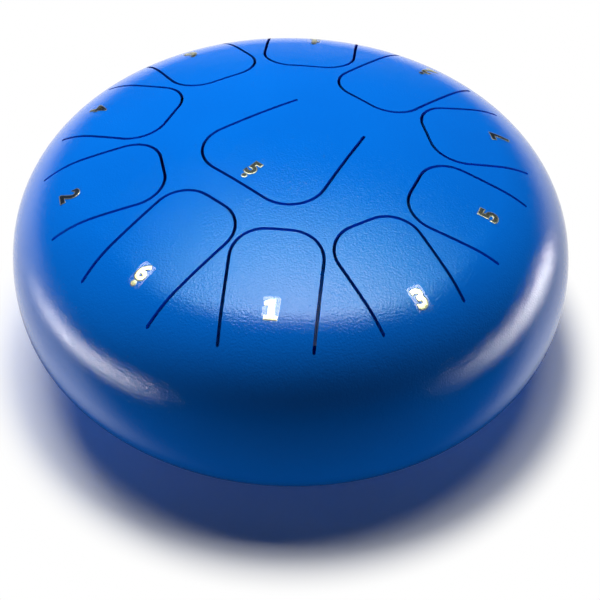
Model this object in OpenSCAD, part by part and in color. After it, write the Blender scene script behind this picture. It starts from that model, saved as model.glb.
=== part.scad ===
// Steel tongue drum: two pressed steel shells welded round the rim, eleven tongues cut in the top
// with a note sticker on each, a sound hole underneath, and three rubber feet screwed to the base.
// Millimetres. The drum stands on its feet at height zero, and the tongue of note 1 faces -Y.

/* [Shells] */
// Widest diameter, at the seam
drum_d = 254; // [240:1:280]
// Thickness of the steel sheet
sheet_t = 1.5; // [1:0.1:2]
// Radius of the shallow dome in the middle of the top
dome_r = 357; // [320:1:420]
// Radius of the shoulder between dome and side
shoulder_r = 47.5; // [42:0.5:54]
// Radius of the side wall
side_r = 64; // [56:1:80]
// How far up the side wall bends before the shoulder starts, in degrees
side_up_a = 15; // [5:1:20]
// How far down the side wall bends before the lower corner starts, in degrees
side_down_a = 8; // [4:1:12]
// Radius of the lower corner
corner_r = 34; // [28:1:40]
// How far round the lower corner turns, in degrees
corner_a = 46; // [40:1:52]
// How far in from the rim the flat middle of the base starts
base_in = 51; // [45:1:53]
// Radius of the weld bead inside the seam
weld_r = 1.6; // [1:0.1:2.5]

/* [Sound hole] */
// Radius of the sound hole
hole_r = 30; // [20:1:36]
// Outer radius of the bend of its turned-in lip
lip_r = 4; // [3:0.5:5]
// Straight height of the lip above the bend
lip_h = 3; // [1:0.5:6]

/* [Tongues] */
// Width of the slot round each tongue
slot_w = 1.3; // [1:0.1:1.8]
// Hairline left at each root, where the steel bends
root_gap = 0.05; // [0.04:0.01:0.1]
// How far in from the rim the longest ring tongues are rooted
root_in = 20; // [18:0.5:24]
// Radius of the rounded corners of a ring tongue
ring_corner_r = 13.5; // [11:0.5:15]
// Radius of the rounded corners of the middle tongue
middle_corner_r = 15.5; // [12:0.5:17]

/* [Stickers] */
// Width of a note sticker
film_w = 6.8; // [6:0.1:9]
// Height of a note sticker, seen from above
film_h = 11.4; // [9:0.1:12]
// Thickness of the clear film
film_t = 0.15; // [0.1:0.01:0.3]
// Radius of the film's corners
film_corner_r = 1; // [0.5:0.1:2]

/* [Feet] */
// Height of a rubber foot
foot_h = 11; // [9:0.5:16]
// Radius of a foot where it meets the base
foot_r = 10; // [9:0.5:12]
// Radius of a foot's tread
tread_r = 8.5; // [8:0.25:9]
// Chamfer round the tread
tread_edge = 1; // [0.5:0.25:1.5]
// How far in from the edge of the base's flat a foot's middle lies
foot_in = 14; // [12:0.5:20]
// Depth of the recess for the screw head
recess_h = 5.5; // [4:0.25:7]
// Clearance round the screw in the feet, the base and the washers
screw_clear = 0.25; // [0.15:0.05:0.5]

/* [Fasteners] */
// Radius of the screw's shank
screw_r = 2; // [1.5:0.1:2.5]
// Radius of the screw's head
head_r = 4; // [3.5:0.1:5]
// Height of the screw's head
head_h = 2.6; // [2:0.1:3.5]
// Length of the shank that shows past the nut
screw_past = 1.5; // [0.5:0.1:3]
// Width of the cross recess in the head
cross_w = 0.9; // [0.6:0.1:1.2]
// Length of the cross recess
cross_len = 4.4; // [3:0.1:5]
// Depth of the cross recess
cross_depth = 1.4; // [1:0.1:1.8]
// Radius of a washer
washer_r = 6; // [5:0.25:8]
// Thickness of a washer
washer_t = 1; // [0.8:0.1:1.6]
// Width of a nut across its flats
nut_af = 7; // [6:0.1:8]
// Height of a nut
nut_h = 3.2; // [2.5:0.1:4]
// Clearance between nut and screw, which stands for their thread
thread_clear = 0.05; // [0.03:0.01:0.1]

/* [Hidden] */
$fn = 240;
// How far a cutting shape runs past what it cuts
overrun = 1;

// The ring tongues in order from the front, turning anticlockwise seen from above, are notes
// 1, 3, 5, 7, high 2, high 1, 6, 4, 2 and low 6. The middle tongue, low 5, comes last.
ring_count = 10;
middle_note = ring_count;
ring_step_a = 360 / ring_count;
front_a = -90;
// The middle tongue points from the high 2 tongue to the low 6 tongue
middle_a = 54;

// The layout of the tongues, as shares of root_r. Distance of each root from the axis:
root_shares = [0.985, 0.96, 0.938, 0.945, 0.951, 0.96, 0.967, 0.972, 1, 1, 0.224];
// Distance of each tip, which for the middle tongue is past the axis:
tip_shares = [0.503, 0.525, 0.533, 0.571, 0.435, 0.605, 0.579, 0.559, 0.539, 0.458, -0.318];
// Half width of each tongue at its root and at its tip:
root_w_shares = [0.169, 0.173, 0.179, 0.196, 0.194, 0.196, 0.185, 0.192, 0.177, 0.171, 0.178];
tip_w_shares = [0.173, 0.177, 0.187, 0.181, 0.184, 0.192, 0.192, 0.187, 0.179, 0.175, 0.322];
// Distance of the middle of each sticker, and how far it was stuck to the left of its tongue's line:
film_shares = [0.853, 0.9, 0.833, 0.893, 0.893, 0.902, 0.902, 0.907, 0.912, 0.876, -0.244];
film_side_shares = [0.005, 0.016, 0.011, 0.009, -0.004, -0.009, 0.003, -0.005, 0.011, 0.02, 0.006];

foot_count = 3;

// Number of straight steps that stand for each arc of the section and of the outlines
side_steps = 4;
shoulder_steps = 12;
dome_steps = 8;
corner_steps = 8;
bowl_steps = 8;
lip_steps = 5;
outline_steps = 8;
film_steps = 3;

// Centres of the arcs that make up the outside of the drum, as radius and height above the seam
rim_r = drum_d / 2;
root_r = rim_r - root_in;
base_flat_r = rim_r - base_in;
foot_place_r = base_flat_r - foot_in;
side_c = [rim_r - side_r, 0];
shoulder_c = side_c + (side_r - shoulder_r) * heading(side_up_a);
dome_a = acos(shoulder_c.x / (dome_r - shoulder_r));
dome_c = [0, shoulder_c.y - (dome_r - shoulder_r) * sin(dome_a)];
// The dome ends in a flat disc half a step wide on either side of the axis
dome_top_a = 90 - (90 - dome_a) / (2 * dome_steps + 1);
corner_c = side_c + (side_r - corner_r) * heading(-side_down_a);
bowl_r = corner_r + (corner_c.x - base_flat_r) / cos(corner_a);
bowl_c = corner_c - (bowl_r - corner_r) * heading(-corner_a);
base_y = bowl_c.y - bowl_r;
lip_c = [hole_r + lip_r, base_y + lip_r];
apex_y = dome_c.y + dome_r;
seam_z = foot_h - base_y;

// A direction in the plane, from its angle
function heading(a) = [cos(a), sin(a)];

// Points along an arc
function arc(c, r, a_from, a_to, steps) = [
    for (k = [0 : steps]) c + r * heading(a_from + (a_to - a_from) * k / steps)
];

// The same without its first point, to follow on from another arc
function onward(c, r, a_from, a_to, steps) = [
    for (k = [1 : steps]) c + r * heading(a_from + (a_to - a_from) * k / steps)
];

function reversed(points) = [for (k = [len(points) - 1 : -1 : 0]) points[k]];

// The line from the seam up to the axis, a distance t outside the drum's own surface
function top_line(t) = concat(
    arc(side_c, side_r + t, 0, side_up_a, side_steps),
    onward(shoulder_c, shoulder_r + t, side_up_a, dome_a, shoulder_steps),
    onward(dome_c, dome_r + t, dome_a, dome_top_a, dome_steps),
    [[0, dome_c.y + (dome_r + t) * sin(dome_top_a)]]
);

// The line from the seam down to the edge of the sound hole
function bottom_line(t) = concat(
    arc(side_c, side_r + t, 0, -side_down_a, side_steps),
    onward(corner_c, corner_r + t, -side_down_a, -corner_a, corner_steps),
    onward(bowl_c, bowl_r + t, -corner_a, -90, bowl_steps),
    arc(lip_c, lip_r + t, 270, 180, lip_steps),
    [lip_c + [-lip_r - t, lip_h]]
);

function tongue_a(i) = i == middle_note ? middle_a : front_a + i * ring_step_a;
function tongue_corner(i) = i == middle_note ? middle_corner_r : ring_corner_r;

// Section of a layer that follows the outside of the top, between two distances from it
module top_section(from, to) {
    polygon(concat(top_line(to), reversed(top_line(from))));
}

module bottom_section() {
    polygon(concat(bottom_line(0), reversed(bottom_line(-sheet_t))));
}

// Outline of a tongue seen from above, with its root towards +X. It can be grown all round,
// which gives the slot, and carried past the root.
module tongue_outline(i, grow, past) {
    root = root_r * root_shares[i];
    tip = root_r * tip_shares[i];
    root_w = root_r * root_w_shares[i];
    tip_w = root_r * tip_w_shares[i];
    r = tongue_corner(i);
    taper_a = atan((tip_w - root_w) / (root - tip));
    leg_y = function(x) root_w + (root - x) * tan(taper_a);
    c = [tip + r, leg_y(tip + r) - r / cos(taper_a)];
    end = [root + past, leg_y(root + past) + grow / cos(taper_a)];
    leg = concat([end], arc(c, r + grow, 90 - taper_a, 180, outline_steps));
    polygon(concat(leg, reversed([for (p = leg) [p.x, -p.y]])));
}

// Everything over the seam that lies inside a flat outline turned to tongue i's direction
module column(i) {
    translate([0, 0, seam_z]) rotate(tongue_a(i)) linear_extrude(apex_y + overrun) children();
}

module revolve() {
    translate([0, 0, seam_z]) rotate_extrude() children();
}

module top_shell() {
    color("dodgerblue") difference() {
        revolve() top_section(-sheet_t, 0);
        for (i = [0 : middle_note]) column(i) tongue_outline(i, slot_w, root_gap);
    }
}

module bottom_shell() {
    color("dodgerblue") difference() {
        revolve() bottom_section();
        at_feet() translate([0, 0, foot_h - overrun]) screw_hole(sheet_t + 2 * overrun);
    }
}

// Bead that joins the two shells, on the inside of the seam
module seam_weld() {
    inner_r = side_r - sheet_t;
    color("slategray") revolve() intersection() {
        translate([rim_r - sheet_t, 0]) circle(weld_r);
        polygon(concat(
            [side_c],
            reversed(arc(side_c, inner_r, 0, -side_down_a, side_steps)),
            onward(side_c, inner_r, 0, side_up_a, side_steps)
        ));
    }
}

module tongue(i) {
    color("dodgerblue") intersection() {
        revolve() top_section(-sheet_t, 0);
        column(i) tongue_outline(i, 0, 0);
    }
}

module sticker(i) {
    color("gold") intersection() {
        revolve() top_section(0, film_t);
        column(i) translate(root_r * [film_shares[i], film_side_shares[i]]) film_outline();
    }
}

module film_outline() {
    c = [film_h, film_w] / 2 - [film_corner_r, film_corner_r];
    corner = arc(c, film_corner_r, 0, 90, film_steps);
    half = concat(corner, reversed([for (p = corner) [-p.x, p.y]]));
    polygon(concat(half, -half));
}

function foot_a(k) = front_a + k * 360 / foot_count;

module at_foot(k) {
    rotate(foot_a(k)) translate([foot_place_r, 0, 0]) children();
}

module at_feet() {
    for (k = [0 : foot_count - 1]) at_foot(k) children();
}

module screw_hole(depth) {
    cylinder(h = depth, r = screw_r + screw_clear);
}

// The head of the screw sits up inside a recess of the foot, clear of the floor
module foot(k) {
    color("dimgray") at_foot(k) rotate_extrude() difference() {
        polygon([[0, 0], [tread_r - tread_edge, 0], [tread_r, tread_edge], [foot_r, foot_h], [0, foot_h]]);
        square([head_r + screw_clear, recess_h]);
        square([screw_r + screw_clear, foot_h]);
    }
}

module foot_screws() {
    shank_h = foot_h - recess_h + sheet_t + washer_t + nut_h + screw_past;
    color("silver") at_feet() translate([0, 0, recess_h]) difference() {
        union() {
            cylinder(h = shank_h, r = screw_r);
            translate([0, 0, -head_h]) cylinder(h = head_h, r = head_r);
        }
        for (a = [0, 90]) {
            rotate(a) translate([-cross_len / 2, -cross_w / 2, -head_h - overrun])
                cube([cross_len, cross_w, cross_depth + overrun]);
        }
    }
}

module foot_washers() {
    color("silver") at_feet() translate([0, 0, foot_h + sheet_t]) difference() {
        cylinder(h = washer_t, r = washer_r);
        translate([0, 0, -overrun]) screw_hole(washer_t + 2 * overrun);
    }
}

module foot_nuts() {
    color("silver") at_feet() translate([0, 0, foot_h + sheet_t + washer_t]) difference() {
        cylinder(h = nut_h, r = nut_af / 2 / cos(30), $fn = 6);
        translate([0, 0, -overrun]) cylinder(h = nut_h + 2 * overrun, r = screw_r + thread_clear);
    }
}

top_shell();
bottom_shell();
seam_weld();
tongue(0);  // tongue_1
tongue(1);  // tongue_3
tongue(2);  // tongue_5
tongue(3);  // tongue_7
tongue(4);  // tongue_2_high
tongue(5);  // tongue_1_high
tongue(6);  // tongue_6
tongue(7);  // tongue_4
tongue(8);  // tongue_2
tongue(9);  // tongue_6_low
tongue(middle_note);  // tongue_5_low
sticker(0);  // sticker_1
sticker(1);  // sticker_3
sticker(2);  // sticker_5
sticker(3);  // sticker_7
sticker(4);  // sticker_2_high
sticker(5);  // sticker_1_high
sticker(6);  // sticker_6
sticker(7);  // sticker_4
sticker(8);  // sticker_2
sticker(9);  // sticker_6_low
sticker(middle_note);  // sticker_5_low
foot(0);  // foot_front
foot(1);  // foot_rear_right
foot(2);  // foot_rear_left
foot_screws();
foot_washers();
foot_nuts();
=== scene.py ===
# %% [markdown]
# This notebook dresses a blue steel tongue drum. The drum comes packed as an exact assembly:
# two pressed shells, eleven tongues cut in the top, a note sticker on each tongue, three rubber
# feet and their fasteners. That assembly has the sizes and the joints, and this notebook gives
# it its looks. So the first step loads it.

import math

import bmesh
import bpy
from mathutils import Matrix, Vector


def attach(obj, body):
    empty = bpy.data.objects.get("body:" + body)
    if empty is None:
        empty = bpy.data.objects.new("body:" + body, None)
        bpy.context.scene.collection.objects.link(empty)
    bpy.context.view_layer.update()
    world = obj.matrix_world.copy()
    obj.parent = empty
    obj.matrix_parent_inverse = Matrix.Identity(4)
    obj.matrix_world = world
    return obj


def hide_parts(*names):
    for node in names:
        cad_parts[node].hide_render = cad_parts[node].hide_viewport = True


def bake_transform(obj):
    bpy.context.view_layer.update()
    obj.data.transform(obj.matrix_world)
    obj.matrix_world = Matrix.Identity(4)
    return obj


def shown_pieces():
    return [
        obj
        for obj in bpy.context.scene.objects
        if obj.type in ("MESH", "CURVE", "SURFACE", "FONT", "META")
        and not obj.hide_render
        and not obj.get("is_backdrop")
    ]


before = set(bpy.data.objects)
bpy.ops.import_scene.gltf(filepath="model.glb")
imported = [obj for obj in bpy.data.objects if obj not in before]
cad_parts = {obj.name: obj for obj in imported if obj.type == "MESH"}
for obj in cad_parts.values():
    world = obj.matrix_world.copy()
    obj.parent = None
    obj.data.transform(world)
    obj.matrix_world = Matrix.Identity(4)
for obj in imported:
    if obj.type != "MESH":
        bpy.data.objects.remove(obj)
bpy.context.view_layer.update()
MM = 0.001
scene = bpy.context.scene

# %% [markdown]
# A product photograph is matched first through its camera. This one looks down on the drum from
# the front and a little from the right, through a lens of about 80 mm on a full frame sensor.
# The three directions below are the camera's own right, up and forward, and a rotation matrix
# made of them turns the camera object. There is no lens shift, so that the same camera stays
# centred when it is moved to the back or the side.

# %% Camera
CAMERA_PLACE = Vector((0.03947, -0.45297, 0.47417))
CAMERA_RIGHT = Vector((0.99526, 0.09542, 0.01900))
CAMERA_UP = Vector((-0.08079, 0.70163, 0.70795))
CAMERA_FORWARD = Vector((-0.05422, 0.70612, -0.70601))
LENS = 79.757


def add_camera():
    data = bpy.data.cameras.new("photo_camera")
    data.sensor_fit = "HORIZONTAL"
    data.sensor_width = 36
    data.lens = LENS
    camera = bpy.data.objects.new("photo_camera", data)
    turn = Matrix((CAMERA_RIGHT, CAMERA_UP, -CAMERA_FORWARD)).transposed()
    camera.matrix_world = Matrix.Translation(CAMERA_PLACE) @ turn.normalized().to_4x4()
    scene.collection.objects.link(camera)
    scene.camera = camera
    return camera


camera = add_camera()
print("camera stands", round(camera.location.length, 3), "m from the drum's foot")

# %% [markdown]
# The drum's skin is a surface of revolution, and a glossy coat shows every flaw of such a
# surface. Its section is a chain of arcs: a slow side wall, a round shoulder and a very shallow
# dome above the seam, and a corner and a bowl below it. Written as arcs, the section serves
# twice. It gives the points that are spun into a shell, and it gives the exact direction that
# the skin faces at any place, which is used later to shade the shell without a flaw.

# %% The section of the drum, in millimetres from the axis and from the seam
RIM_R = 127.0
SHEET = 1.5
SIDE_R, SIDE_UP, SIDE_DOWN = 64.0, 15.0, 8.0
SHOULDER_R, DOME_R = 47.5, 357.0
CORNER_R, CORNER_A = 34.0, 46.0
FLAT_R, HOLE_R, LIP_R, LIP_H = 76.0, 30.0, 4.0, 3.0
FOOT_H = 11.0


def heading(a):
    return Vector((math.cos(math.radians(a)), math.sin(math.radians(a))))


side_c = Vector((RIM_R - SIDE_R, 0))
shoulder_c = side_c + (SIDE_R - SHOULDER_R) * heading(SIDE_UP)
dome_a = math.degrees(math.acos(shoulder_c.x / (DOME_R - SHOULDER_R)))
dome_c = Vector((0, shoulder_c.y - (DOME_R - SHOULDER_R) * math.sin(math.radians(dome_a))))
corner_c = side_c + (SIDE_R - CORNER_R) * heading(-SIDE_DOWN)
BOWL_R = CORNER_R + (corner_c.x - FLAT_R) / math.cos(math.radians(CORNER_A))
bowl_c = corner_c - (BOWL_R - CORNER_R) * heading(-CORNER_A)
base_y = bowl_c.y - BOWL_R
lip_c = Vector((HOLE_R + LIP_R, base_y + LIP_R))
SEAM = FOOT_H - base_y

TOP_ARCS = [
    (side_c, SIDE_R, 0, SIDE_UP, 6),
    (shoulder_c, SHOULDER_R, SIDE_UP, dome_a, 24),
    (dome_c, DOME_R, dome_a, 90, 24),
]
BOTTOM_ARCS = [
    (side_c, SIDE_R, 0, -SIDE_DOWN, 4),
    (corner_c, CORNER_R, -SIDE_DOWN, -CORNER_A, 16),
    (bowl_c, BOWL_R, -CORNER_A, -90, 20),
    (lip_c, LIP_R, 270, 180, 10),
]
SAME_POINT = 1e-4
print("seam", round(SEAM, 2), "mm above the floor, apex", round(SEAM + dome_c.y + DOME_R, 2), "mm")


def arc_points(arcs, depth=0.0):
    """Points along the arcs, at a depth below the skin."""
    points = []
    for c, r, start, end, steps in arcs:
        for k in range(steps + 1):
            p = c + (r - depth) * heading(start + (end - start) * k / steps)
            if not points or (p - points[-1]).length > SAME_POINT:
                points.append(p)
    return points


def skin_height(r):
    """Height of the top's skin at a distance r from the axis."""
    on_shoulder = r > DOME_R * math.cos(math.radians(dome_a))
    c, radius = (shoulder_c, SHOULDER_R) if on_shoulder else (dome_c, DOME_R)
    return SEAM + c.y + math.sqrt(max(radius ** 2 - (r - c.x) ** 2, 0))


SLACK = 0.05


def skin_normal(x, y, z):
    """Outward direction of the drum's skin near a point, and how deep the point lies under it."""
    p = Vector((math.hypot(x, y), z - SEAM))
    best = None
    for c, radius, start, end, _ in TOP_ARCS + BOTTOM_ARCS:
        v = p - c
        a = math.degrees(math.atan2(v.y, v.x)) % 360
        low, high = min(start, end), max(start, end)
        inside = any(low - SLACK <= a + turn <= high + SLACK for turn in (-360, 0, 360))
        depth = radius - v.length
        off = abs(depth - SHEET / 2)
        if inside and off < SHEET and (best is None or off < abs(best[1] - SHEET / 2)):
            best = (v.normalized(), depth)
    if best is None:
        flat = p.x > lip_c.x
        best = (Vector((0, -1)), p.y - base_y) if flat else (Vector((-1, 0)), p.x - HOLE_R)
    n, depth = best
    r = max(p.x, 1e-9)
    return Vector((n.x * x / r, n.x * y / r, n.y)), depth


# %% [markdown]
# Most pieces end in the same way: a bmesh becomes an object that sits at the origin, with its
# place in its mesh, and rides on one of the drum's bodies. Working in millimetres is easier on
# the eye, so the mesh is scaled to metres in the last moment. A smooth skin that was cut gets
# its shading from the exact section, so that no cut disturbs the gloss round it.

# %% Turning a bmesh into a piece of the drum
def make_piece(name, bm, materials, scale=MM):
    bmesh.ops.scale(bm, vec=(scale, scale, scale), verts=bm.verts)
    mesh = bpy.data.meshes.new(name)
    bm.to_mesh(mesh)
    bm.free()
    for m in materials:
        mesh.materials.append(m)
    piece = bpy.data.objects.new(name, mesh)
    scene.collection.objects.link(piece)
    return piece


def cleaned(bm):
    bmesh.ops.remove_doubles(bm, verts=bm.verts, dist=SAME_POINT)
    bmesh.ops.recalc_face_normals(bm, faces=bm.faces)
    return bm


def spin_round(bm, steps):
    bmesh.ops.spin(bm, geom=bm.verts[:] + bm.edges[:], cent=(0, 0, 0), axis=(0, 0, 1),
                   angle=math.tau, steps=steps, use_merge=True, use_duplicate=False)
    return cleaned(bm)


def spun(points, steps, closed):
    """A bmesh of a section, given as (radius, height), turned about the drum's axis."""
    bm = bmesh.new()
    verts = [bm.verts.new((p[0], 0, p[1])) for p in points]
    for a, b in zip(verts, verts[1:] + verts[:1] if closed else verts[1:]):
        bm.edges.new((a, b))
    return spin_round(bm, steps)


ALONG, ACROSS, NEAR_SKIN = 0.97, 0.3, 0.06


def shade_by_section(piece):
    """Every corner on the inner or outer skin faces exactly the way that the section says."""
    mesh = piece.data
    mesh.shade_smooth()
    normals = [Vector((0, 0, 0))] * len(mesh.loops)
    for face in mesh.polygons:
        n, depth = skin_normal(*(face.center / MM))
        outward = n.dot(face.normal)
        side = 1 if outward > ALONG else -1 if outward < -ALONG else 0
        if abs(outward) < ACROSS and len(mesh.materials) > 1:
            face.material_index = 1
        for k in face.loop_indices:
            normals[k] = face.normal.copy()
            if side:
                m, depth = skin_normal(*(mesh.vertices[mesh.loops[k].vertex_index].co / MM))
                if abs(depth - (0 if side > 0 else SHEET)) < NEAR_SKIN:
                    normals[k] = side * m
    mesh.normals_split_custom_set([tuple(n) for n in normals])


print("helpers for pieces ready")

# %% [markdown]
# Slots, tongues, screw holes and recesses are cut with booleans. A cut takes two bmeshes and gives
# back a new one, and its helper objects are removed again.

# %% Cutting
def evaluated_mesh(item):
    """A new mesh of an object, with its modifiers or its text worked out."""
    bpy.context.view_layer.update()
    ready = item.evaluated_get(bpy.context.evaluated_depsgraph_get())
    return bpy.data.meshes.new_from_object(ready)


def swung(x, y, turn):
    """A place seen from above, turned about the drum's axis."""
    return x * math.cos(turn) - y * math.sin(turn), x * math.sin(turn) + y * math.cos(turn)


def cut(piece_bm, tool_bm, operation):
    """Boolean of two bmeshes, as a new bmesh."""
    objects = []
    for bm in (piece_bm, tool_bm):
        mesh = bpy.data.meshes.new("cut")
        bm.to_mesh(mesh)
        bm.free()
        objects.append(bpy.data.objects.new("cut", mesh))
        scene.collection.objects.link(objects[-1])
    modifier = objects[0].modifiers.new("cut", "BOOLEAN")
    modifier.operation = operation
    modifier.solver = "EXACT"
    modifier.object = objects[1]
    result = evaluated_mesh(objects[0])
    out = bmesh.new()
    out.from_mesh(result)
    for o in objects:
        old = o.data
        bpy.data.objects.remove(o)
        bpy.data.meshes.remove(old)
    bpy.data.meshes.remove(result)
    return out


print("helpers for cutting ready")

# %% [markdown]
# Powder coat on steel is a thick glossy plastic skin with a fine orange peel. The peel shows
# where a reflection ends: the edge breaks up into small ripples and sparkles. It is a node group
# because both shells and all tongues use it, and it puts out only a height, which each material
# feeds to its own Bump node. Object coordinates keep the grain at its real size in metres.

# %% Shader groups
def new_group(name, inputs, outputs):
    group = bpy.data.node_groups.new(name, "ShaderNodeTree")
    for label, value in inputs:
        socket = group.interface.new_socket(label, in_out="INPUT", socket_type="NodeSocketFloat")
        socket.default_value = value
    for label, kind in outputs:
        group.interface.new_socket(label, in_out="OUTPUT", socket_type=kind)
    return group, group.nodes.new("NodeGroupInput"), group.nodes.new("NodeGroupOutput")


def add_math(tree, operation, a, b):
    node = tree.nodes.new("ShaderNodeMath")
    node.operation = operation
    for socket, value in zip(node.inputs, (a, b)):
        if isinstance(value, (int, float)):
            socket.default_value = value
        else:
            tree.links.new(value, socket)
    return node.outputs[0]


def add_noise(tree, vector, scale, detail=2.0, roughness=0.5):
    node = tree.nodes.new("ShaderNodeTexNoise")
    tree.links.new(vector, node.inputs["Vector"])
    if isinstance(scale, (int, float)):
        node.inputs["Scale"].default_value = scale
    else:
        tree.links.new(scale, node.inputs["Scale"])
    node.inputs["Detail"].default_value = detail
    node.inputs["Roughness"].default_value = roughness
    return node.outputs["Fac"]


def own_place(tree):
    """Object coordinates, in metres, which stay with the piece when it moves."""
    return tree.nodes.new("ShaderNodeTexCoord").outputs["Object"]


FINER, MOTTLE_PER_METRE = 3.1, 18.0


def orange_peel_group():
    group, given, out = new_group(
        "orange_peel", [("Grain per metre", 700.0), ("Fine share", 0.35)],
        [("Height", "NodeSocketFloat"), ("Mottle", "NodeSocketFloat")])
    place = own_place(group)
    coarse = add_noise(group, place, given.outputs["Grain per metre"], 1.0)
    fine_scale = add_math(group, "MULTIPLY", given.outputs["Grain per metre"], FINER)
    fine = add_noise(group, place, fine_scale, 1.0)
    fine = add_math(group, "MULTIPLY", fine, given.outputs["Fine share"])
    group.links.new(add_math(group, "ADD", coarse, fine), out.inputs["Height"])
    group.links.new(add_noise(group, place, MOTTLE_PER_METRE, 3.0), out.inputs["Mottle"])
    return group


def dust_group():
    group, given, out = new_group("fine_dust", [("Amount", 0.5)], [("Mask", "NodeSocketFloat")])
    place = own_place(group)
    specks = add_noise(group, place, scale=900.0, detail=2.0, roughness=0.7)
    patches = add_noise(group, place, scale=35.0, detail=3.0, roughness=0.6)
    both = add_math(group, "MULTIPLY", specks, patches)
    group.links.new(add_math(group, "MULTIPLY", both, given.outputs["Amount"]), out.inputs["Mask"])
    return group


ORANGE_PEEL = orange_peel_group()
FINE_DUST = dust_group()
print("shader groups:", [g.name for g in bpy.data.node_groups])

# %% [markdown]
# Each finish is one Principled material. Values that are the same all over a surface sit on the
# shader's own sockets, and only what varies comes in through nodes: a colour that wanders between
# two close tones, and a bump of the right grain.

# %% What all finishes share
PLASTIC_IOR, FILM_IOR = 1.5, 1.6


def new_material(name, color, roughness, metallic=0.0):
    material = bpy.data.materials.new(name)
    material.use_nodes = True
    shader = material.node_tree.nodes["Principled BSDF"]
    shader.inputs["Base Color"].default_value = (*color, 1)
    shader.inputs["Roughness"].default_value = roughness
    shader.inputs["Metallic"].default_value = metallic
    shader.inputs["IOR"].default_value = PLASTIC_IOR
    return material, material.node_tree, shader


def add_group(tree, group, **values):
    node = tree.nodes.new("ShaderNodeGroup")
    node.node_tree = group
    for label, value in values.items():
        node.inputs[label.replace("_", " ")].default_value = value
    return node


def add_bump(tree, shader, height, strength, distance):
    bump = tree.nodes.new("ShaderNodeBump")
    bump.inputs["Strength"].default_value = strength
    bump.inputs["Distance"].default_value = distance
    tree.links.new(height, bump.inputs["Height"])
    tree.links.new(bump.outputs["Normal"], shader.inputs["Normal"])


def add_color(tree, socket, mask, low, high):
    """A socket gets a colour between two, by a mask that runs from 0 to 1."""
    ramp = tree.nodes.new("ShaderNodeValToRGB")
    ramp.color_ramp.elements[0].color = (*low, 1)
    ramp.color_ramp.elements[1].color = (*high, 1)
    tree.links.new(mask, ramp.inputs["Fac"])
    tree.links.new(ramp.outputs["Color"], socket)
    return ramp


def cover_front(tree, shader, cover):
    back = tree.nodes.new("ShaderNodeNewGeometry").outputs["Backfacing"]
    front = add_math(tree, "SUBTRACT", 1.0, back)
    tree.links.new(add_math(tree, "MULTIPLY", front, cover), shader.inputs["Alpha"])


print("helpers for finishes ready")

# %% [markdown]
# The coat, the rubber and the bare metals cover fully. Film and foil are so thin that they cover
# only a share of the blue below them, and only their fronts count, or a plate would cover twice.
# The walls of the cuts are less glossy than the open coat.

# %% Finishes
def blue_coat():
    material, tree, shader = new_material("blue_powder_coat", (0.0, 0.185, 0.84), 0.08)
    peel = add_group(tree, ORANGE_PEEL, Grain_per_metre=1200.0, Fine_share=0.35)
    ramp = add_color(tree, shader.inputs["Base Color"], peel.outputs["Mottle"],
                     (0.0, 0.180, 0.82), (0.0, 0.192, 0.86))
    ramp.color_ramp.elements[0].position = 0.35
    ramp.color_ramp.elements[1].position = 0.65
    add_bump(tree, shader, peel.outputs["Height"], strength=1.0, distance=0.00011)
    return material


def rubber():
    material, tree, shader = new_material("black_rubber", (0.022, 0.022, 0.024), 0.62)
    dust = add_group(tree, FINE_DUST, Amount=1.6)
    add_color(tree, shader.inputs["Base Color"], dust.outputs["Mask"],
              (0.018, 0.018, 0.020), (0.075, 0.073, 0.070))
    add_bump(tree, shader, add_noise(tree, own_place(tree), 1500.0, 3.0), 0.35, 0.00008)
    return material


def grained(name, dark, light, roughness, tone, grain, metallic=1.0):
    """Colour by a wide noise (per metre, detail), bump by a fine one (also strength, depth)."""
    material, tree, shader = new_material(name, light, roughness, metallic)
    place = own_place(tree)
    add_color(tree, shader.inputs["Base Color"], add_noise(tree, place, *tone), dark, light)
    add_bump(tree, shader, add_noise(tree, place, *grain[:2]), *grain[2:])
    return material, tree, shader


def foil(name, dark, light, roughness, cover):
    material, tree, shader = grained(name, dark, light, roughness, (500.0, 3.0),
                                     (900.0, 2.0, 0.4, 0.00006))
    cover_front(tree, shader, cover)
    return material


FILM_GLARE, FILM_HAZE = 0.36, 0.01


def clear_film():
    """A mirror that is nearly see-through: its share of cover is what clear plastic reflects."""
    material, tree, shader = new_material("clear_film", (1.0, 1.0, 1.0), 0.12, metallic=1.0)
    fresnel = tree.nodes.new("ShaderNodeFresnel")
    fresnel.inputs["IOR"].default_value = FILM_IOR
    place = own_place(tree)
    cover = add_math(tree, "MULTIPLY", fresnel.outputs[0], FILM_GLARE)
    haze = add_math(tree, "MULTIPLY", add_noise(tree, place, 400.0, 2.0), FILM_HAZE)
    cover_front(tree, shader, add_math(tree, "ADD", cover, haze))
    add_bump(tree, shader, add_noise(tree, place, 300.0, 1.0), strength=0.5, distance=0.0002)
    return material


BLUE = blue_coat()
BLUE_CUT = grained("blue_coat_in_the_cuts", (0.0, 0.17, 0.78), (0.0, 0.21, 0.92), 0.5,
                   (600.0, 2.0), (1400.0, 1.0, 0.5, 0.00005), metallic=0.0)[0]
RUBBER = rubber()
ZINC = grained("zinc_plate", (0.55, 0.56, 0.58), (0.82, 0.83, 0.85), 0.3,
               (260.0, 3.0), (2200.0, 2.0, 0.25, 0.00003))[0]
WELD = grained("weld_bead", (0.16, 0.15, 0.16), (0.46, 0.44, 0.42), 0.42,
               (90.0, 4.0), (420.0, 2.0, 0.6, 0.0003))[0]
FILM = clear_film()
GOLD = foil("gold_foil", (0.32, 0.34, 0.14), (0.54, 0.54, 0.26), roughness=0.2, cover=0.8)
FOIL_EDGE = foil("foil_edge", (0.34, 0.38, 0.28), (0.50, 0.54, 0.42), roughness=0.4, cover=0.7)
print("finishes:", [m.name for m in bpy.data.materials])

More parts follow.
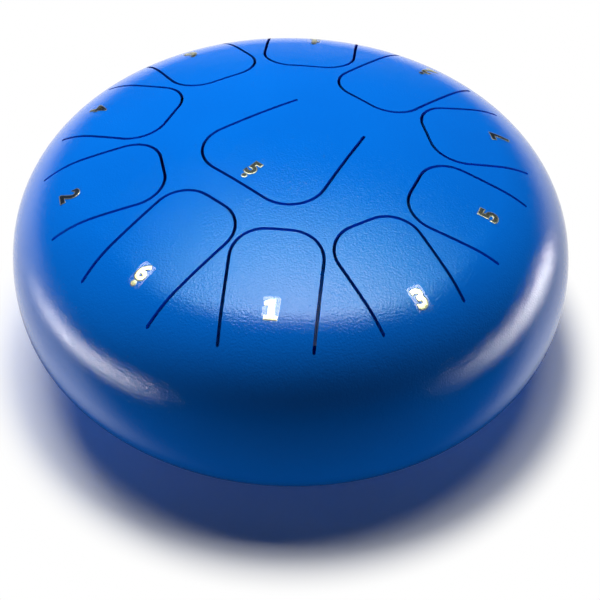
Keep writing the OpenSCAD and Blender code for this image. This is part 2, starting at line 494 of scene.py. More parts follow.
# %% [markdown]
# A tongue is a flat outline seen from above: two legs that run from its root to a rounded tip.
# Roots, tips and half widths are shares of the root line's radius, one for each note.
# The outline can be grown all round, and the same number of points comes back each time, so
# that outlines of different growth can be stacked into a cutting tool with a rounded upper edge.

# %% Outlines of the tongues
ROOT_R = 107.0
SLOT = 1.3
NOTES = ["1", "3", "5", "7", "2_high", "1_high", "6", "4", "2", "6_low", "5_low"]
ROOTS = [0.985, 0.96, 0.938, 0.945, 0.951, 0.96, 0.967, 0.972, 1, 1, 0.224]
TIPS = [0.503, 0.525, 0.533, 0.571, 0.435, 0.605, 0.579, 0.559, 0.539, 0.458, -0.318]
ROOT_WIDTHS = [0.169, 0.173, 0.179, 0.196, 0.194, 0.196, 0.185, 0.192, 0.177, 0.171, 0.178]
TIP_WIDTHS = [0.173, 0.177, 0.187, 0.181, 0.184, 0.192, 0.192, 0.187, 0.179, 0.175, 0.322]
DIRECTIONS = [-90 + 36 * i for i in range(10)] + [54]
CORNERS = [13.5] * 10 + [15.5]
MIDDLE = NOTES.index("5_low")
LEG_STEPS, CORNER_STEPS, TIP_STEPS, END_STEPS = 16, 16, 8, 9


def leg_points(i, grow):
    """One leg of a tongue's outline, from the root to the middle of the tip."""
    root, tip = ROOT_R * ROOTS[i], ROOT_R * TIPS[i]
    root_w, tip_w = ROOT_R * ROOT_WIDTHS[i], ROOT_R * TIP_WIDTHS[i]
    r = CORNERS[i]
    taper = math.atan((tip_w - root_w) / (root - tip))
    c = Vector((tip + r, root_w + (root - tip - r) * math.tan(taper) - r / math.cos(taper)))
    start = Vector((root, root_w + grow / math.cos(taper)))
    points = []
    lead = c + (r + grow) * heading(90 - math.degrees(taper))
    for k in range(LEG_STEPS):
        points.append(start.lerp(lead, k / LEG_STEPS))
    for k in range(CORNER_STEPS + 1):
        a = 90 - math.degrees(taper) + (90 + math.degrees(taper)) * k / CORNER_STEPS
        points.append(c + (r + grow) * heading(a))
    last = points[-1].copy()
    for k in range(1, TIP_STEPS + 1):
        points.append(Vector((last.x, last.y * (1 - k / TIP_STEPS))))
    return points, taper


def tongue_outline(i, grow):
    leg, _ = leg_points(i, grow)
    return leg + [Vector((p.x, -p.y)) for p in reversed(leg[:-1])]


def hole_outline(i, grow):
    """The slot's outer line, with its two rounded ends and a straight cut along the root."""
    leg, taper = leg_points(i, SLOT + grow)
    inner = leg_points(i, 0)[0][0]
    across = heading(90 - math.degrees(taper))
    middle = inner + across * SLOT / 2
    end = []
    for k in range(1, END_STEPS):
        a = -90 - math.degrees(taper) + 180 * k / END_STEPS
        w = SLOT / 2 + grow * k / END_STEPS
        end.append(middle + w * heading(a))
    leg = [middle + (SLOT / 2 + grow) * across] + leg[1:]
    half = [inner] + end + leg
    return half + [Vector((p.x, -p.y)) for p in reversed(half[:-1])]


def stacked_tool(i, outline, rows, top, bottom):
    """A closed cutting tool: the outline, extruded through rows of (growth, depth in the skin)."""
    turn = math.radians(DIRECTIONS[i])
    bm = bmesh.new()

    def place(p, depth, level):
        z = level if level is not None else skin_height(p.length) - depth
        return Vector((*swung(p.x, p.y, turn), z))

    ring = [bm.verts.new(place(p, 0, top)) for p in outline(i, rows[0][0])]
    loop = bm.faces.new(ring).edges[:]
    for grow, depth, level in [(g, d, None) for g, d in rows] + [(rows[-1][0], None, bottom)]:
        made = bmesh.ops.extrude_edge_only(bm, edges=loop)["geom"]
        loop = [g for g in made if isinstance(g, bmesh.types.BMEdge)]
        new = [g for g in made if isinstance(g, bmesh.types.BMVert)]
        matched, before = {}, set(ring)
        for v in new:
            for e in v.link_edges:
                o = e.other_vert(v)
                if o in before:
                    matched[o] = v
        ring = [matched[v] for v in ring]
        for v, p in zip(ring, outline(i, grow)):
            v.co = place(p, depth, level)
    bmesh.ops.contextual_create(bm, geom=loop)
    bmesh.ops.recalc_face_normals(bm, faces=bm.faces)
    return bm


print("outline of tongue 1 has", len(tongue_outline(0, 0)), "points")

# %% [markdown]
# The top shell is spun from its section, then the eleven slots are cut out of it. The tools are
# a little wider at the skin, because powder coat rounds every cut edge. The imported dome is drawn
# in eight steps and ends in a small flat top, and the skin stays as flat there.

# %% Top shell
PACKED_DOME_STEPS = 8
FLAT_TOP_A = 90 - (90 - dome_a) / (2 * PACKED_DOME_STEPS + 1)
APEX_Z = SEAM + dome_c.y + DOME_R * math.sin(math.radians(FLAT_TOP_A))
ROUND_ROWS = [(0.09, -0.02), (0.04, 0.03), (0.01, 0.07), (0.0, 0.13)]
TURNS = 300
TOOL_TOP, TOOL_BOTTOM = APEX_Z + 4, SEAM + 8


def top_section():
    outer = [(p.x, min(p.y + SEAM, APEX_Z)) for p in arc_points(TOP_ARCS)]
    inner = [(p.x, p.y + SEAM) for p in arc_points(TOP_ARCS, SHEET)]
    inner[-1] = (0.0, inner[-1][1])
    outer[-1] = (0.0, outer[-1][1])
    return outer, inner


outer, inner = top_section()
shell_bm = spun(list(reversed(outer)) + inner, TURNS, closed=False)
for i in range(len(NOTES)):
    tool = stacked_tool(i, hole_outline, ROUND_ROWS, TOOL_TOP, TOOL_BOTTOM)
    shell_bm = cut(shell_bm, tool, "DIFFERENCE")
top_shell = make_piece("top_shell_skin", shell_bm, [BLUE, BLUE_CUT])
shade_by_section(top_shell)
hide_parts("top_shell")
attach(top_shell, "drum")
print("top shell:", len(top_shell.data.polygons), "faces")

# %% [markdown]
# Each tongue is cut from a patch of the same sheet, spun on the same grid of lines, so that tongue
# and shell meet at the root point for point. On the real drum the steel runs on there without a
# break.

# %% Tongues
STEP = 360 / TURNS
RING_PATCH, MIDDLE_PATCH = (38, 113), (0, 62)


def sheet_patch(i):
    """A closed piece of sheet that is larger than tongue i."""
    low, high = MIDDLE_PATCH if i == MIDDLE else RING_PATCH
    skin = [p for p in outer if low <= p[0] <= high]
    back = [p for p in inner if low <= p[0] <= high]
    if i == MIDDLE:
        return spun(list(reversed(skin)) + back, TURNS, closed=False)
    half = 24 if NOTES[i] == "2_high" else 20
    count = 2 * half
    section = skin + list(reversed(back))
    bm = bmesh.new()
    face = bm.faces.new([bm.verts.new((p[0], 0, p[1])) for p in section])
    start = math.radians(DIRECTIONS[i] - half * STEP)
    bmesh.ops.rotate(bm, verts=bm.verts, cent=(0, 0, 0), matrix=Matrix.Rotation(start, 3, "Z"))
    bmesh.ops.spin(bm, geom=[face], cent=(0, 0, 0), axis=(0, 0, 1), steps=count,
                   angle=math.radians(count * STEP), use_merge=False, use_duplicate=False)
    return cleaned(bm)


def add_tongue(i):
    note = NOTES[i]
    inward_rows = [(-g, d) for g, d in ROUND_ROWS]
    tool = stacked_tool(i, tongue_outline, inward_rows, TOOL_TOP, TOOL_BOTTOM)
    bm = cut(sheet_patch(i), tool, "INTERSECT")
    piece = make_piece("tongue_" + note + "_skin", bm, [BLUE, BLUE_CUT])
    shade_by_section(piece)
    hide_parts("tongue_" + note)
    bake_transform(piece)
    return piece


tongues = [add_tongue(i) for i in range(len(NOTES))]
print("tongues:", [len(t.data.polygons) for t in tongues])

# %% [markdown]
# The bottom shell is spun from the seam down over the corner and the bowl to the flat base, and
# turned in round the sound hole. Three small holes let the foot screws through.

# %% Bottom shell
FOOT_R = 62.0
FOOT_ANGLES = {"front": -90, "rear_right": 30, "rear_left": 150}
SCREW_R, CLEAR = 2.0, 0.25


def bottom_section():
    skin = arc_points(BOTTOM_ARCS) + [Vector((HOLE_R, lip_c.y + LIP_H))]
    back = arc_points(BOTTOM_ARCS, SHEET) + [Vector((HOLE_R + SHEET, lip_c.y + LIP_H))]
    return [(p.x, p.y + SEAM) for p in skin], [(p.x, p.y + SEAM) for p in back]


def foot_middle(name):
    return heading(FOOT_ANGLES[name]) * FOOT_R


def round_tool(radius, low, high, places):
    bm = bmesh.new()
    for p in places:
        made = bmesh.ops.create_cone(bm, cap_ends=True, segments=48, depth=high - low,
                                     radius1=radius, radius2=radius)
        bmesh.ops.translate(bm, verts=made["verts"], vec=(p.x, p.y, (low + high) / 2))
    return bm


skin, back = bottom_section()
bottom_bm = spun(skin + list(reversed(back)), TURNS, closed=True)
screw_places = [foot_middle(name) for name in FOOT_ANGLES]
screw_holes = round_tool(SCREW_R + CLEAR, FOOT_H - 2, FOOT_H + 4, screw_places)
bottom_bm = cut(bottom_bm, screw_holes, "DIFFERENCE")
bottom_shell = make_piece("bottom_shell_skin", bottom_bm, [BLUE])
shade_by_section(bottom_shell)
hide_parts("bottom_shell")
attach(bottom_shell, "drum")
print("bottom shell:", len(bottom_shell.data.polygons), "faces")

# %% [markdown]
# The two shells are welded round the widest line, and from outside the seam is ground away under
# the coat. Inside, the bead is left as it ran: a row of overlapping ripples. A half round section
# is spun with many steps, and then the bead is swelled and pinched step by step.

# %% Seam weld
WELD_R = 1.6
RIPPLES = 180
RIPPLE_DEPTH, WAVER_DEPTH, WAVER_RATE, PINCH = 0.22, 0.06, 0.37, 0.15


def add_seam_weld():
    wall = RIM_R - SHEET
    points = [(wall - WELD_R * math.cos(a), SEAM + WELD_R * math.sin(a))
              for a in (math.radians(-88 + 22 * k) for k in range(9))]
    bm = spun(points, 4 * RIPPLES, closed=True)
    for v in bm.verts:
        a = math.atan2(v.co.y, v.co.x) * RIPPLES / math.tau
        swell = 1 - RIPPLE_DEPTH * (a % 1) ** 2 - WAVER_DEPTH * math.sin(a * WAVER_RATE)
        r = math.hypot(v.co.x, v.co.y)
        new = wall - (wall - r) * swell
        pinch = 1 - PINCH + PINCH * swell
        v.co = (v.co.x * new / r, v.co.y * new / r, SEAM + (v.co.z - SEAM) * pinch)
    piece = make_piece("seam_weld_bead", bm, [WELD])
    piece.data.shade_smooth()
    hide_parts("seam_weld")
    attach(piece, "drum")
    return piece


seam_weld = add_seam_weld()
print("weld bead:", len(seam_weld.data.polygons), "faces")

# %% [markdown]
# The feet are moulded rubber bumpers: a cone that gets wider to the top, with rounded edges, a
# groove in the tread and a deep recess that keeps the screw head off the floor. The section is
# drawn with sharp corners first. Bevelling its corners before it is spun rounds every edge.

# %% Rubber feet
HEAD_R, HEAD_H = 4.0, 2.6
RECESS_H = 5.5


def turned(section, rounding, steps=72, segments=3):
    """A closed section, as (radius, height), with rounded corners, turned about its own axis."""
    bm = bmesh.new()
    bm.faces.new([bm.verts.new((r, 0, z)) for r, z in section])
    bmesh.ops.bevel(bm, geom=bm.verts[:], offset=rounding, affect="VERTICES", segments=segments,
                    profile=0.5, material=-1)
    bmesh.ops.delete(bm, geom=bm.faces[:], context="FACES_ONLY")
    return spin_round(bm, steps)


def add_copy(out, bm):
    mesh = bpy.data.meshes.new("copy")
    bm.to_mesh(mesh)
    out.from_mesh(mesh)
    bpy.data.meshes.remove(mesh)


def copied_to_feet(bm, names):
    """The same shape at each foot, in one bmesh."""
    out = bmesh.new()
    for name in names:
        before = len(out.verts)
        add_copy(out, bm)
        out.verts.ensure_lookup_table()
        p = foot_middle(name)
        turn = Matrix.Rotation(math.radians(FOOT_ANGLES[name]), 4, "Z")
        move = Matrix.Translation((p.x, p.y, 0)) @ turn
        bmesh.ops.transform(out, matrix=move, verts=out.verts[before:])
    bm.free()
    return out


FOOT_SECTION = [
    (HEAD_R + CLEAR + 0.6, 0), (5.9, 0), (6.05, 0.5), (6.35, 0.5), (6.5, 0), (7.5, 0), (8.5, 1.0),
    (9.92, FOOT_H - 0.6), (10.0, FOOT_H), (SCREW_R + CLEAR, FOOT_H), (SCREW_R + CLEAR, RECESS_H),
    (HEAD_R + CLEAR, RECESS_H), (HEAD_R + CLEAR, 0.6),
]


def smooth_by_angle(piece, degrees):
    piece.data.shade_smooth()
    bm = bmesh.new()
    bm.from_mesh(piece.data)
    for e in bm.edges:
        e.smooth = len(e.link_faces) == 2 and e.calc_face_angle(0) < math.radians(degrees)
    bm.to_mesh(piece.data)
    bm.free()


def add_foot(name):
    bm = copied_to_feet(turned(FOOT_SECTION, rounding=0.14, steps=96), [name])
    piece = make_piece("foot_" + name + "_rubber", bm, [RUBBER])
    smooth_by_angle(piece, 40)
    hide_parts("foot_" + name)
    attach(piece, "drum")
    return piece


feet = [add_foot(name) for name in FOOT_ANGLES]
print("feet:", [f.name for f in feet])

# %% [markdown]
# Pan head screws go up through the feet, and washers and nuts hold them inside the drum. A thread
# is a small ridge that climbs while it is spun, and the spin operator does that with a vector it
# adds at each step. The cross recess is cut with a tool that gets narrower to its bottom.

# %% Screws, washers and nuts
PITCH = 0.7
SHANK_TOP = 18.2
WASHER_Z = FOOT_H + SHEET
WASHER_R, WASHER_H = 6.0, 1.0
NUT_Z, NUT_H, NUT_AF = WASHER_Z + WASHER_H, 3.2, 7.0
CORE_R = SCREW_R - 0.38
ON_AXIS = 0.001
THREAD_STEPS = 20


def screw_thread(low, high):
    bm = bmesh.new()
    ridge = [(CORE_R - 0.1, 0), (CORE_R, 0.02), (SCREW_R, 0.28), (SCREW_R, 0.36), (CORE_R, 0.62),
             (CORE_R - 0.1, 0.64)]
    face = bm.faces.new([bm.verts.new((r, 0, low + z)) for r, z in ridge])
    turns = (high - low - PITCH) / PITCH
    steps = int(turns * THREAD_STEPS)
    climb = (0, 0, PITCH / THREAD_STEPS)
    bmesh.ops.spin(bm, geom=[face], cent=(0, 0, 0), axis=(0, 0, 1), dvec=climb,
                   angle=math.tau * steps / THREAD_STEPS, steps=steps, use_duplicate=False)
    bmesh.ops.recalc_face_normals(bm, faces=bm.faces)
    return bm


def cross_tool(low, depth):
    bm = bmesh.new()
    for turn in (0, 90):
        made = bmesh.ops.create_cube(bm, size=1)["verts"]
        bmesh.ops.scale(bm, vec=(4.4, 0.9, depth + 1), verts=made)
        bmesh.ops.translate(bm, vec=(0, 0, low + (depth - 1) / 2), verts=made)
        tops = [v for v in made if v.co.z > low]
        bmesh.ops.scale(bm, vec=(0.45, 0.7, 1), verts=tops)
        quarter = Matrix.Rotation(math.radians(turn), 3, "Z")
        bmesh.ops.rotate(bm, verts=made, cent=(0, 0, 0), matrix=quarter)
    return bm


def joined(parts):
    out = bmesh.new()
    for bm in parts:
        add_copy(out, bm)
        bm.free()
    return out


def screw():
    low = RECESS_H - HEAD_H
    body = turned([(ON_AXIS, low), (2.9, low), (HEAD_R, low + 1.0), (HEAD_R, RECESS_H),
                   (CORE_R, RECESS_H), (CORE_R, SHANK_TOP - 0.5), (CORE_R - 0.5, SHANK_TOP),
                   (ON_AXIS, SHANK_TOP)], rounding=0.35, steps=64, segments=5)
    body = cut(body, cross_tool(low, 1.4), "DIFFERENCE")
    return joined([body, screw_thread(RECESS_H + 0.3, SHANK_TOP - 0.2)])


def nut():
    bm = bmesh.new()
    corner_r = NUT_AF / 2 / math.cos(math.pi / 6)
    made = bmesh.ops.create_cone(bm, cap_ends=True, segments=6, depth=NUT_H,
                                 radius1=corner_r, radius2=corner_r)
    bmesh.ops.translate(bm, verts=made["verts"], vec=(0, 0, NUT_Z + NUT_H / 2))
    high = NUT_Z + NUT_H
    chamfer = turned([(ON_AXIS, NUT_Z), (3.45, NUT_Z), (4.3, NUT_Z + 0.45), (4.3, high - 0.45),
                      (3.45, high), (ON_AXIS, high)], rounding=0.02, segments=1)
    bore = turned([(ON_AXIS, NUT_Z - 1), (3.05, NUT_Z - 1), (2.05, NUT_Z + 0.4),
                   (2.05, high - 0.4), (3.05, high + 1), (ON_AXIS, high + 1)],
                  rounding=0.01, steps=48, segments=1)
    return cut(cut(bm, chamfer, "INTERSECT"), bore, "DIFFERENCE")


def washer():
    inner_r, high = SCREW_R + CLEAR, WASHER_Z + WASHER_H
    return turned([(inner_r, WASHER_Z), (WASHER_R, WASHER_Z), (WASHER_R, high), (inner_r, high)],
                  rounding=0.14)


FASTENERS = (("foot_screws", screw, 35), ("foot_washers", washer, 40), ("foot_nuts", nut, 20))
for node, make, soft_angle in FASTENERS:
    piece = make_piece(node[:-1] + "_set", copied_to_feet(make(), FOOT_ANGLES), [ZINC])
    smooth_by_angle(piece, soft_angle)
    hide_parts(node)
    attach(piece, "drum")
    print(node, len(piece.data.polygons), "faces")

# %% [markdown]
# A small film sticker tells the note of each tongue. A dot under the number is a low note, and
# one above it a high one. The film is clear, so it shows mostly by its glare, and the number is
# stamped foil, gold inside a paler line. Film and foil are drawn flat, cut into narrow strips
# with bisect_plane so that they can bend, and then laid on the dome.

# %% Sheets that lie on the dome
FILM_W, FILM_H, FILM_CORNER, FILM_RISE = 6.8, 11.4, 1.0, 0.12
FOIL_LOW, FOIL_HIGH = 0.10, 0.14
STRIP = 0.55
FILM_PLACES = [0.853, 0.9, 0.833, 0.893, 0.893, 0.902, 0.902, 0.907, 0.912, 0.876, -0.244]
FILM_SIDES = [0.005, 0.016, 0.011, 0.009, -0.004, -0.009, 0.003, -0.005, 0.011, 0.02, 0.006]


def laid_on_dome(bm, i, low, high):
    """A flat shape (right, up, rise), centred on a sticker, becomes a thin plate on the dome."""
    for k in range(-12, 13):
        for axis in ((0, 1, 0), (1, 0, 0)):
            if axis == (1, 0, 0) and k % 3:
                continue
            spot = [STRIP * k * c for c in axis]
            geom = bm.verts[:] + bm.edges[:] + bm.faces[:]
            bmesh.ops.bisect_plane(bm, geom=geom, dist=SAME_POINT, plane_co=spot, plane_no=axis)
    made = bmesh.ops.extrude_face_region(bm, geom=bm.faces[:])["geom"]
    tops = {v for v in made if isinstance(v, bmesh.types.BMVert)}
    turn = math.radians(DIRECTIONS[i])
    way = 1 if i == MIDDLE else -1
    for v in bm.verts:
        x = ROOT_R * FILM_PLACES[i] + way * v.co.y
        y = ROOT_R * FILM_SIDES[i] - way * v.co.x
        z = skin_height(math.hypot(x, y)) + (high + v.co.z if v in tops else low)
        v.co = (*swung(x, y, turn), z)
    bmesh.ops.recalc_face_normals(bm, faces=bm.faces)
    return bm


def film_outline():
    bm = bmesh.new()
    bmesh.ops.create_grid(bm, x_segments=1, y_segments=1, size=0.5)
    bmesh.ops.scale(bm, vec=(FILM_W, FILM_H, 1), verts=bm.verts)
    bmesh.ops.bevel(bm, geom=bm.verts[:], offset=FILM_CORNER, affect="VERTICES", segments=5,
                    profile=0.5, material=-1)
    return bm


def add_sticker(i):
    bm = laid_on_dome(film_outline(), i, 0.0, FILM_RISE)
    piece = make_piece("sticker_" + NOTES[i] + "_film", bm, [FILM])
    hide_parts("sticker_" + NOTES[i])
    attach(piece, "note_" + NOTES[i])
    return piece


films = [add_sticker(i) for i in range(len(NOTES))]
print("films:", len(films))

# %% [markdown]
# The numbers come from Blender's own font. Its number 1 is a plain bar, so that one is drawn with
# a flag and a foot. A text object becomes a mesh before anything else is done with it. The paler
# line round each number is its own outline, extruded outwards, and slopes down to the film.

# %% Numerals
NUMERAL_H, DOTTED_H, NUMERAL_W = 8.4, 10.4, 5.2
DOT_R, DOT_GAP = 0.95, 0.75
EDGE_W, EDGE_RISE = 0.42, 0.07
BOLDER, BOLDER_4 = 0.026, 0.012
ONE = [(-0.19, 0), (0.21, 0), (0.21, 0.1), (0.09, 0.1), (0.09, 0.7), (-0.04, 0.7), (-0.2, 0.6),
       (-0.2, 0.48), (-0.07, 0.54), (-0.07, 0.1), (-0.19, 0.1)]


def number_face(number):
    bm = bmesh.new()
    if number == "1":
        bm.faces.new([bm.verts.new((x, y, 0)) for x, y in ONE])
    else:
        curve = bpy.data.curves.new("numeral", "FONT")
        curve.body = number
        curve.offset = BOLDER_4 if number == "4" else BOLDER
        curve.resolution_u = 4
        writer = bpy.data.objects.new("numeral", curve)
        scene.collection.objects.link(writer)
        mesh = evaluated_mesh(writer)
        bm.from_mesh(mesh)
        bpy.data.objects.remove(writer)
        bpy.data.meshes.remove(mesh)
    bmesh.ops.remove_doubles(bm, verts=bm.verts, dist=1e-5)
    return bm


def fit_flat(bm, low, high, width):
    xs, ys = [v.co.x for v in bm.verts], [v.co.y for v in bm.verts]
    rise = (high - low) / (max(ys) - min(ys))
    across = min(rise, width / (max(xs) - min(xs)))
    for v in bm.verts:
        v.co = ((v.co.x - (min(xs) + max(xs)) / 2) * across, low + (v.co.y - min(ys)) * rise, 0)


def note_face(note):
    bm = number_face(note[0])
    dot = 2 * DOT_R + DOT_GAP if "_" in note else 0
    half = (DOTTED_H if dot else NUMERAL_H) / 2
    low = -half + (dot if note.endswith("low") else 0)
    high = half - (dot if note.endswith("high") else 0)
    fit_flat(bm, low, high, NUMERAL_W)
    if dot:
        made = bmesh.ops.create_circle(bm, cap_ends=True, segments=24, radius=DOT_R)["verts"]
        y = -half + DOT_R if note.endswith("low") else half - DOT_R
        bmesh.ops.translate(bm, verts=made, vec=(0, y, 0))
    for f in bm.faces:
        if f.normal.z < 0:
            f.normal_flip()
    return bm


SHARPEST = 0.8


def add_border(bm, width):
    """A strip of faces round a flat shape: its outline is extruded and moved outwards."""
    push = {}
    for e in bm.edges:
        if e.is_boundary:
            corner = e.link_loops[0]
            way = (corner.link_loop_next.vert.co - corner.vert.co).normalized()
            for v in e.verts:
                push.setdefault(v, []).append(Vector((way.y, -way.x, 0)))
    made = bmesh.ops.extrude_edge_only(bm, edges=[e for e in bm.edges if e.is_boundary])["geom"]
    moved = {v for v in made if isinstance(v, bmesh.types.BMVert)}
    for v in moved:
        old = next(e.other_vert(v) for e in v.link_edges if e.other_vert(v) in push)
        total = sum(push[old], Vector((0, 0, 0)))
        spread = max(total.length_squared / len(push[old]), SHARPEST)
        v.co += total / spread * width
    border = [f for f in made if isinstance(f, bmesh.types.BMFace)]
    for f in border:
        f.material_index = 1
    return moved


def add_numeral(i):
    bm = note_face(NOTES[i])
    low_edge = add_border(bm, EDGE_W)
    for v in bm.verts:
        v.co.z = 0 if v in low_edge else EDGE_RISE
    bm = laid_on_dome(bm, i, FOIL_LOW, FOIL_HIGH)
    piece = make_piece("numeral_" + NOTES[i], bm, [GOLD, FOIL_EDGE])
    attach(piece, "note_" + NOTES[i])
    return piece


numerals = [add_numeral(i) for i in range(len(NOTES))]
for piece in numerals:
    on_edge = sum(f.material_index for f in piece.data.polygons)
    print(piece.name, len(piece.data.polygons), "faces,", on_edge, "on the edge")

# %% [markdown]
# The drum was photographed on plain white. Here a white floor stands for it, and away from the
# drum the floor simply glows at full white, so that no lamp has to be turned up for its sake.
# Near the drum it is matt paint, and takes the drum's soft shadow. Where the glow sets in, it
# paints the outer fade of that shadow, and a faint glow round the drum is painted light that
# lifts the shadow's core. The front of the real drum mirrors something dark, so for reflections
# the floor doesn't glow before it, and its paint throws less light back. From below, the floor
# can't be seen, so that the drum's underside can.

# %% Floor
def ray_kinds(tree):
    """Whether a surface is seen, straight or through something, and whether it is mirrored."""
    path = tree.nodes.new("ShaderNodeLightPath").outputs
    seen = add_math(tree, "MAXIMUM", path["Is Camera Ray"], path["Is Transmission Ray"])
    return seen, path["Is Glossy Ray"]


def add_switch(tree, share, first, second):
    node = tree.nodes.new("ShaderNodeMixShader")
    for value, socket in zip((share, first, second), node.inputs):
        tree.links.new(value, socket)
    return node.outputs[0]


def add_range(tree, value, low, high, out_low=0.0, out_high=1.0):
    node = tree.nodes.new("ShaderNodeMapRange")
    node.interpolation_type = "SMOOTHSTEP"
    tree.links.new(value, node.inputs["Value"])
    values = {"From Min": low, "From Max": high, "To Min": out_low, "To Max": out_high}
    for label, number in values.items():
        node.inputs[label].default_value = number
    return node.outputs["Result"]


FLOOR_BOUNCE, MIRRORED_PAINT = 0.35, 0.05
# The glow's ramp starts inside the drum's shadow, so it paints the shadow's outer fade to white.
GLOW_STARTS, GLOW_FULL = 0.131, 0.153
# The faint glow that begins under the drum is painted light, which lifts the shadow's core.
UNDER_STARTS, UNDER_FULL, SHADOW_LIFT_GLOW = 0.05, 0.10, 0.01
DARK_BEFORE, LIGHT_BEHIND = -0.14, -0.08
FRONT_SKEW, FRONT_SPREAD = -0.2, -0.1


def white_floor():
    material, tree, shader = new_material("white_floor", (1.0, 1.0, 1.0), 0.9)
    shader.inputs["Specular IOR Level"].default_value = 0.0
    place = own_place(tree)
    length = tree.nodes.new("ShaderNodeVectorMath")
    length.operation = "LENGTH"
    tree.links.new(place, length.inputs[0])
    seen, mirrored = ray_kinds(tree)
    split = tree.nodes.new("ShaderNodeSeparateXYZ")
    tree.links.new(place, split.inputs[0])
    sideways = add_math(tree, "ABSOLUTE", split.outputs["X"], 0.0)
    across = add_math(tree, "MULTIPLY", split.outputs["X"], FRONT_SKEW)
    apart = add_math(tree, "MULTIPLY", sideways, FRONT_SPREAD)
    front = add_math(tree, "ADD", split.outputs["Y"], add_math(tree, "ADD", across, apart))
    not_front = add_range(tree, front, DARK_BEFORE, LIGHT_BEHIND)
    # painted shadow fade: the glow rises through the shadow's outer edge; a faint glow lifts its
    # core
    painted_shadow_fade = add_range(tree, length.outputs["Value"], GLOW_STARTS, GLOW_FULL)
    under = add_range(tree, length.outputs["Value"], UNDER_STARTS, UNDER_FULL, 0.0, SHADOW_LIFT_GLOW)
    glow = add_math(tree, "MAXIMUM", seen, add_math(tree, "MULTIPLY", mirrored, not_front))
    glow = add_math(tree, "MULTIPLY", add_math(tree, "MAXIMUM", painted_shadow_fade, under), glow)
    paint = add_math(tree, "MULTIPLY", add_range(tree, mirrored, 0.0, 1.0, 1.0, MIRRORED_PAINT),
                     add_range(tree, not_front, 0.0, 1.0, FLOOR_BOUNCE, 1.0))
    paint = add_math(tree, "MAXIMUM", paint, seen)
    tree.links.new(paint, shader.inputs["Base Color"])
    light = tree.nodes.new("ShaderNodeEmission").outputs[0]
    clear = tree.nodes.new("ShaderNodeBsdfTransparent").outputs[0]
    from_below = tree.nodes.new("ShaderNodeNewGeometry").outputs["Backfacing"]
    lit = add_switch(tree, glow, shader.outputs[0], light)
    one_sided = add_switch(tree, from_below, lit, clear)
    tree.links.new(one_sided, tree.nodes["Material Output"].inputs["Surface"])
    return material


FLOOR_HALF = 6000
floor_bm = bmesh.new()
bmesh.ops.create_grid(floor_bm, x_segments=1, y_segments=1, size=FLOOR_HALF)
floor = make_piece("floor", floor_bm, [white_floor()])
floor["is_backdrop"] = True
print("floor:", round(floor.dimensions.x, 1), "m wide")

# %% [markdown]
# The world is white where the camera looks at it, and nearly dark for light and for mirrors, so
# that all light on the drum comes from lamps.

# %% World
WORLD_FILL, WORLD_MIRROR = 0.003, 0.03

world = bpy.data.worlds.new("studio")
scene.world = world
world.use_nodes = True
tree = world.node_tree
sky = tree.nodes["Background"]
sky.inputs["Color"].default_value = (1, 1, 1, 1)
seen, mirrored = ray_kinds(tree)
level = add_range(tree, mirrored, 0.0, 1.0, WORLD_FILL, WORLD_MIRROR)
tree.links.new(add_math(tree, "MAXIMUM", level, seen), sky.inputs["Strength"])
scene.view_settings.view_transform = "Standard"
print("world ready")

# %% [markdown]
# Lamps can be linked to what they light and hidden from reflections, which lets each one do one
# job: two draw the shadow, one gives the body its colour, one puts the broad pale sheen on the
# dome and one the glare on film and foil, two narrow ones make the bright bands on the shoulder,
# and three faint ones fill from the sides and from below. The last three shine through the
# floor. A lamp whose face fades to one side makes a reflection that fades the same way.

# %% Lamps
drum_lit = bpy.data.collections.new("lit_drum")
coat_lit = bpy.data.collections.new("lit_coat")
foil_lit = bpy.data.collections.new("lit_foil")
floor_lit = bpy.data.collections.new("lit_floor")
floor_lit.objects.link(floor)


def add_lamp(name, place, target, size, watts, lit, glossy=True, diffuse=True):
    data = bpy.data.lights.new(name, "AREA")
    data.shape = "RECTANGLE"
    data.size, data.size_y = size
    data.energy = watts
    lamp = bpy.data.objects.new(name, data)
    place, target = Vector(place), Vector(target)
    aim = (target - place).to_track_quat("-Z", "Y").to_matrix().to_4x4()
    lamp.matrix_world = Matrix.Translation(place) @ aim
    lamp.visible_camera = False
    lamp.visible_glossy = glossy
    lamp.visible_diffuse = diffuse
    lamp.light_linking.receiver_collection = lit
    scene.collection.objects.link(lamp)
    return lamp


def fade_lamp(lamp, *fades, dark_color=(1, 1, 1)):
    """Each fade is (axis, place where the lamp is dark, place where it is bright), in metres,
    along X or Y, or both ways from the lamp's middle. Its light is tinted where it is dark."""
    lamp.data.use_nodes = True
    tree = lamp.data.node_tree
    split = tree.nodes.new("ShaderNodeSeparateXYZ")
    tree.links.new(tree.nodes.new("ShaderNodeNewGeometry").outputs["Position"], split.inputs[0])
    level = 1.0
    for axis, dark, bright in fades:
        place = split.outputs[axis[0]]
        if axis.endswith("middle"):
            middle = lamp.matrix_world.translation["XYZ".index(axis[0])]
            place = add_math(tree, "SUBTRACT", place, middle)
            place = add_math(tree, "ABSOLUTE", place, 0)
        level = add_math(tree, "MULTIPLY", add_range(tree, place, bright, dark, 1.0, 0.0), level)
    face = tree.nodes["Emission"]
    tree.links.new(level, face.inputs["Strength"])
    add_color(tree, face.inputs["Color"], level, dark_color, (1, 1, 1))


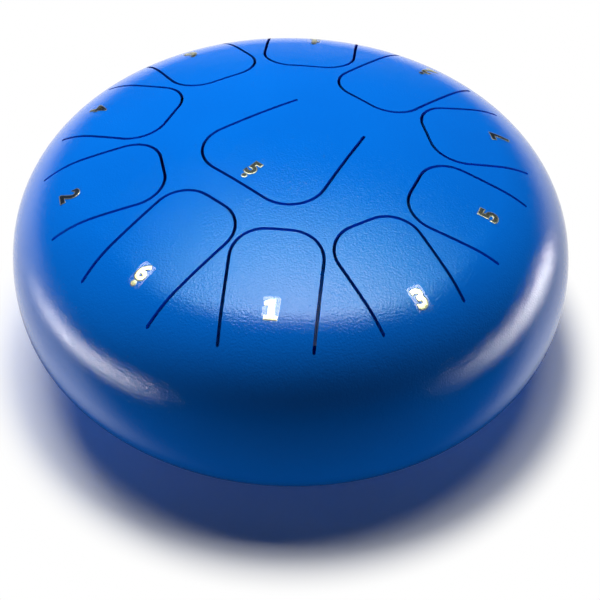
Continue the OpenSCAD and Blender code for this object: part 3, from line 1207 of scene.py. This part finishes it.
add_lamp("shadow_lamp", (-0.014, -0.05, 0.75), (-0.014, -0.05, 0), size=(0.52, 0.18),
         watts=2.9, lit=floor_lit, glossy=False)
add_lamp("back_shadow_lamp", (-0.26, 0.3, 0.75), (-0.26, 0.3, 0), size=(0.57, 0.11),
         watts=4.4, lit=floor_lit, glossy=False)
add_lamp("body_lamp", (-0.28, 0.6, 1.12), (0, 0, 0.06), size=(0.5, 0.4),
         watts=18.3, lit=drum_lit, glossy=False)
sheen = add_lamp("sheen_lamp", (0.05, 0.44, 1.2), (0.05, 0.44, 0), size=(1.5, 0.82),
                 watts=40.0, lit=coat_lit, diffuse=False)
fade_lamp(sheen, ("Y", 1.1, -0.2), ("X middle", 0.75, 0.15), dark_color=(0.0, 1.0, 1.0))
glint = add_lamp("foil_lamp", (0.0, 0.6, 1.2), (0, 0.6, 0), size=(1.9, 1.2),
                 watts=95.0, lit=foil_lit, diffuse=False)
fade_lamp(glint, ("Y", 0.75, 0.3), ("X middle", 0.85, 0.55))
right = add_lamp("right_band", (0.5, -0.15, 0.044), (0, -0.15, 0.044),
                 size=(0.8, 0.045), watts=2.6, lit=drum_lit, diffuse=False)
fade_lamp(right, ("Y", -0.38, 0.12))
left = add_lamp("left_band", (-0.33, -0.22, 0.0155), (0, -0.22, 0.0155),
                size=(0.55, 0.03), watts=1.1, lit=drum_lit, diffuse=False)
fade_lamp(left, ("Y middle", 0.27, 0.03))
for name, place, size, watts in (("left_fill", (-0.45, -0.35, -0.03), (0.3, 0.06), 0.57),
                                 ("right_fill", (0.5, -0.2, -0.03), (0.3, 0.06), 0.57),
                                 ("under_lamp", (0, 0, -0.6), (0.5, 0.5), 0.3)):
    fill = add_lamp(name, place, (0, 0, 0.04), size, watts, drum_lit, glossy=False)
    fill.light_linking.blocker_collection = drum_lit

# %% [markdown]
# Now that all pieces exist, they join the collections that the lamps light: film and foil have a
# lamp of their own, and everything else is coat.

# %% Close
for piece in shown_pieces():
    drum_lit.objects.link(piece)
    (foil_lit if piece.name.startswith(("sticker_", "numeral_")) else coat_lit).objects.link(piece)
